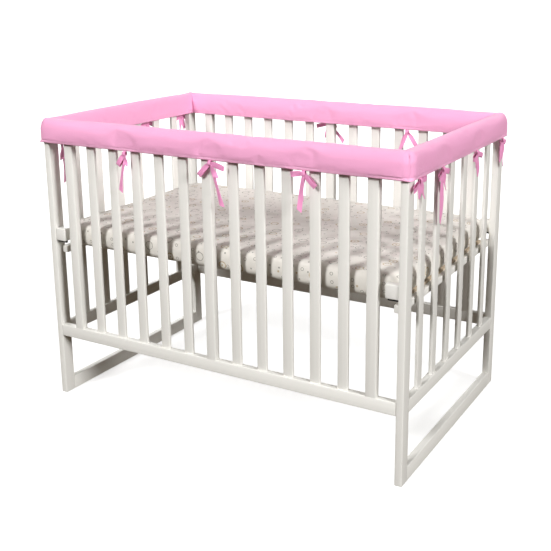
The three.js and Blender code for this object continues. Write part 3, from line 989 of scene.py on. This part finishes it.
def swell(made, held):
    """Lets the cloth swell between the points that are held, and keeps the result."""
    start = np.array([vertex.co for vertex in made.data.vertices])
    group = made.vertex_groups.new(name="held")
    for index, weight in enumerate(held):
        if weight > 0:
            group.add([index], float(weight), "REPLACE")
    modifier = made.modifiers.new("cloth", "CLOTH")
    for key, value in CLOTH_SETTINGS.items():
        setattr(modifier.settings, key, value)
    modifier.settings.effector_weights.gravity = 0
    modifier.collision_settings.use_collision = False
    modifier.point_cache.frame_end = SWELL_FRAMES
    scene = bpy.context.scene
    for step in range(1, SWELL_FRAMES + 1):
        scene.frame_set(step)
    seen = made.evaluated_get(bpy.context.evaluated_depsgraph_get())
    moved = np.array([vertex.co for vertex in seen.data.vertices]) - start
    made.modifiers.remove(modifier)
    made.vertex_groups.remove(group)
    scene.frame_set(1)
    far = np.linalg.norm(moved, axis=1)
    moved *= np.minimum(1.0, SWELL_MOST / np.maximum(far, 1e-9))[:, None]
    made.data.vertices.foreach_set("co", (start + moved).ravel())
    made.data.update()
    print(made.name, "swelled by", round(float(far.mean()) / MM, 2), "mm on average")


SEAM_FROM = 0.8
SEAM_WAY = 0.2
TIE_HOLD = 0.5
TIE_NARROW = 6
HEM_FIRM = 0.03
HEM_FADE = 0.12
HEM_HOLD = 0.5


def held_points(side, stations):
    """How firmly each point is held, from 0 to 1: hems, seams, ties and the slot."""
    held = []
    for end, value in stations:
        seam = max(0.0, (value - SEAM_FROM) / SEAM_WAY) if end else 0.0
        tied = TIE_HOLD * pinch(side, value) ** TIE_NARROW if end == 0 else 0.0
        for _, up, _ in PROFILE:
            hem = 1.0 if up < HEM_FIRM else max(0.0, 1 - up / HEM_FADE) * HEM_HOLD
            held.append(max(hem, seam, tied * (1 - up)))
        held += [1.0] * (2 * len(SLOT))
    return held


def make_cover(side):
    stations = cover_stations(RUNS[side]["half"])
    rings = [cover_ring(side, end, value) for end, value in stations]
    node = f"cover_{side}"
    made = piece(f"padded_{node}", lofted(node, rings), cotton, "padded_cloth", node)
    swell(made, held_points(side, stations))
    shade_by_angle(made, CLOTH_CREASE)
    print(node, len(made.data.polygons), "faces")


for side_name in RUNS:
    make_cover(side_name)

# %% [markdown]
# ## Ribbons
#
# A tie passes under the rail from hem to hem. It is knotted at one hem, with up to two loops and
# with two free ends. Each part is a thin strip that follows a line of points, with its width
# turned a little on the way, and a short band wraps the knot.

# %% Ribbons
RIBBON_WIDTH = 14 * MM
RIBBON_THICK = 0.7 * MM
KNOT_Z = COVER_LOW - 7.7 * MM
KNOT_OUT = 22 * MM
ACROSS = 8
END_SLANT = 0.3


def at_tie(tie, right, out, z):
    """A point beside the middle of a tie, out from the rail's middle, at a height."""
    return on_run(RUNS[tie["side"]], tie["at"] * MM + right, tie["face"] * out, z)


def way_at_tie(tie, right, out, up):
    """A direction, in the same terms."""
    run = RUNS[tie["side"]]
    out = out * tie["face"]
    x, y = (along * right + away * out for along, away in zip(run["along"], run["out"]))
    return Vector((x, y, up))


def strip(points, across, widths, cup=0.0):
    """A thin ribbon along points, as a bmesh, and its length. Across, its UV goes -1 to 1."""
    bm = bmesh.new()
    uv = bm.loops.layers.uv.new("cloth")
    layers = []
    along = [0.0]
    for before, after in zip(points, points[1:]):
        along.append(along[-1] + (after - before).length)
    for i, point in enumerate(points):
        ahead = (points[min(i + 1, len(points) - 1)] - points[max(i - 1, 0)]).normalized()
        wide = (across[i] - ahead * across[i].dot(ahead)).normalized()
        thick = ahead.cross(wide)
        shares = [2 * k / ACROSS - 1 for k in range(ACROSS + 1)]
        top, under = [], []
        slant = ahead * (END_SLANT * widths[i]) if i == len(points) - 1 else Vector()
        for share in shares:
            hollow = thick * (cup * widths[i] * (1 - share * share))
            middle = point + wide * (share * widths[i] / 2) + hollow
            middle += slant * share
            top.append(bm.verts.new(middle + thick * RIBBON_THICK / 2))
            under.append(bm.verts.new(middle - thick * RIBBON_THICK / 2))
        layers.append((top + under[::-1], shares + shares[::-1]))
    count = len(layers[0][0])
    for r in range(len(layers) - 1):
        for i in range(count):
            j = (i + 1) % count
            corners = ((r, i), (r, j), (r + 1, j), (r + 1, i))
            face = bm.faces.new([layers[row][0][column] for row, column in corners])
            for corner, (row, column) in zip(face.loops, corners):
                corner[uv].uv = (along[row], layers[row][1][column])
    bm.faces.new(layers[0][0])
    bm.faces.new(layers[-1][0])
    bmesh.ops.recalc_face_normals(bm, faces=bm.faces)
    return bm, along[-1]


LOOP_STEPS = 40
LOOP_OPEN = 4.6
LOOP_POINTED = 0.8
LOOP_SAG = 0.0016
LOOP_TILT = 0.12
LOOP_CUP = 0.04
LOOP_FULL_AT = 14
LOOP_LOWER = 0.5


def bow_loop(tie, side, length, fall):
    """A loop out from the knot and back to it, with its sizes in millimetres."""
    fall = math.radians(fall)
    points, across, widths = [], [], []
    for i in range(LOOP_STEPS + 1):
        turn = i / LOOP_STEPS * 2 * math.pi
        reach = length / 2 * (1 - math.cos(turn))
        gap = LOOP_OPEN * math.sin(turn) * abs(math.sin(turn / 2)) ** LOOP_POINTED
        drop = reach * math.sin(fall) + LOOP_SAG * reach * reach
        right = side * reach * math.cos(fall) * MM
        z = KNOT_Z - (LOOP_LOWER + drop) * MM
        points.append(at_tie(tie, right, KNOT_OUT + gap * MM, z))
        across.append(way_at_tie(tie, side * math.sin(fall), LOOP_TILT, math.cos(fall)))
        widths.append(RIBBON_WIDTH * (0.55 + 0.45 * min(1.0, reach / LOOP_FULL_AT)))
    return strip(points, across, widths, LOOP_CUP)


END_STEPS = 30
END_CURL = 0.18
END_SWAY = 1.6
END_APART = 2.6
END_TWIST = 0.45
END_CUP = 0.07


def free_end(tie, length, lean, order, top=KNOT_Z - MM):
    """An end that hangs from the knot. The order sets it before or behind the other end."""
    lean = math.radians(lean)
    points, across, widths = [], [], []
    for i in range(END_STEPS + 1):
        t = i / END_STEPS
        right = math.sin(lean) * length * (t - END_CURL * t * t)
        down = math.cos(lean) * length * t
        sway = END_SWAY * math.sin(t * 5 + order * 2) * t
        out = KNOT_OUT + (order * END_APART + sway - 1) * MM
        points.append(at_tie(tie, right * MM, out, top - down * MM))
        twist = END_TWIST * math.sin(4 * t + order)
        across.append(way_at_tie(tie, math.cos(lean), twist, math.sin(lean)))
        widths.append(RIBBON_WIDTH * (0.5 + 0.5 * min(1.0, t * 4)))
    return strip(points, across, widths, END_CUP)


STRAP_Z = COVER_LOW - SEAM_GAP - RIBBON_THICK / 2
STRAP_START = 20 * MM
STRAP_POINTS = 9
STRAP_WIDTH = 0.8


def strap(tie, reach):
    """The part that passes flat under the rail, from hem to hem."""
    outs = np.linspace(-reach, KNOT_OUT + 2 * MM, STRAP_POINTS)
    points = [at_tie(tie, 0, out, STRAP_Z) for out in outs]
    across = [way_at_tie(tie, 1, 0, 0)] * STRAP_POINTS
    return strip(points, across, [RIBBON_WIDTH * STRAP_WIDTH] * STRAP_POINTS)


BAND_STEPS = 24
BAND_TURNS = 1.04
BAND_OUT = 4.6 * MM
BAND_UP = 6.6 * MM
BAND_ASIDE = 0.6 * MM
BAND_WIDTH = 0.82
BAND_CUP = -0.10


def knot_band(tie):
    """A short length of ribbon once round the knot."""
    points, across, widths = [], [], []
    for i in range(BAND_STEPS + 1):
        turn = i / BAND_STEPS * 2 * math.pi * BAND_TURNS
        out = KNOT_OUT + BAND_OUT * math.cos(turn)
        z = KNOT_Z + BAND_UP * math.sin(turn)
        points.append(at_tie(tie, BAND_ASIDE * math.sin(turn * 0.5), out, z))
        across.append(way_at_tie(tie, 1, 0, 0.15))
        widths.append(RIBBON_WIDTH * BAND_WIDTH)
    return strip(points, across, widths, BAND_CUP)


def make_tie(name, tie):
    """One tie, whose parts are one ribbon. The tie of FAR_END also has an end past its strap."""
    far = name == FAR_END["tie"]
    made = [strap(tie, KNOT_OUT if far else STRAP_START), knot_band(tie)]
    if far:
        turned = dict(tie, face=-tie["face"])
        made.append(free_end(turned, FAR_END["length"], FAR_END["lean"], 0, STRAP_Z))
    for letter, side, order in (("a", -1, -0.5), ("b", 1, 0.8)):
        if tie[f"loop_{letter}"]:
            made.append(bow_loop(tie, side, tie[f"loop_{letter}"], tie[f"fall_{letter}"]))
        made.append(free_end(tie, tie[f"end_{letter}"], tie[f"lean_{letter}"], order))
    strips, part_lengths = zip(*made)
    length = sum(part_lengths)
    tied = piece(f"ribbon_{name}", joined(name, strips), ribbon_cloth, "ribbon", name)
    shade_by_angle(tied, CLOTH_CREASE)
    return length


lengths = {name: make_tie(name, tie) for name, tie in TIES.items()}
print("ribbon lengths", {name: round(length, 2) for name, length in lengths.items()})

# %% [markdown]
# ## Mattress
#
# A slab with round corners in plan, a soft edge and a nearly flat top. The sheet over it is
# pulled tight, so only a slow unevenness of its material shows on top.

# %% Mattress
MATTRESS_CORNER = 46 * MM
TURN_STEPS = 12
MATTRESS_STEPS = 4
MATTRESS_ROWS = (  # inset from the side in millimetres, share of the height
    (14, 0.0),
    (3, 0.16),
    (0, 0.45),
    (2, 0.74),
    (9, 0.91),
    (24, 0.985),
    (60, 1.0),
)


def lay_print(mesh, rings, flat_x, flat_y):
    """Gives the sheet a UV map in metres, flat on top and folded down over each side."""
    count = len(rings[0])
    down = [0.0]
    for before, after in zip(rings[::-1], rings[-2::-1]):
        down.append(down[-1] + (after[0] - before[0]).length)
    down = down[::-1]
    uv = mesh.uv_layers["cloth"].data
    for face in mesh.polygons:
        over_x = abs(face.center.x) - flat_x > abs(face.center.y) - flat_y
        for index in face.loop_indices:
            vertex = mesh.loops[index].vertex_index
            at = mesh.vertices[vertex].co
            fold = down[vertex // count]
            if fold == 0:
                uv[index].uv = (at.x, at.y)
            elif over_x:
                uv[index].uv = (math.copysign(flat_x + fold, at.x), at.y)
            else:
                uv[index].uv = (at.x, math.copysign(flat_y + fold, at.y))


def make_mattress():
    low, high = (Vector(corner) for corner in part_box("mattress"))
    rings = []
    for inset, up in smooth_rows(MATTRESS_ROWS, MATTRESS_STEPS):
        ring = []
        half_x = (high.x - low.x) / 2 - inset * MM
        half_y = (high.y - low.y) / 2 - inset * MM
        for corner in range(4):
            sign_x = 1 if corner in (0, 3) else -1
            sign_y = 1 if corner < 2 else -1
            for k in range(TURN_STEPS + 1):
                angle = math.radians(90) * (corner + k / TURN_STEPS)
                ring.append(Vector((
                    sign_x * (half_x - MATTRESS_CORNER) + MATTRESS_CORNER * math.cos(angle),
                    sign_y * (half_y - MATTRESS_CORNER) + MATTRESS_CORNER * math.sin(angle),
                    low.z + min(up, 1.0) * (high.z - low.z),
                )))
        rings.append(ring)
    mesh = lofted("mattress", rings)
    lay_print(mesh, rings, half_x, half_y)
    made = piece("soft_mattress", mesh, mattress_cloth, "mattress_cloth", "mattress")
    print("mattress", len(made.data.polygons), "faces")


make_mattress()
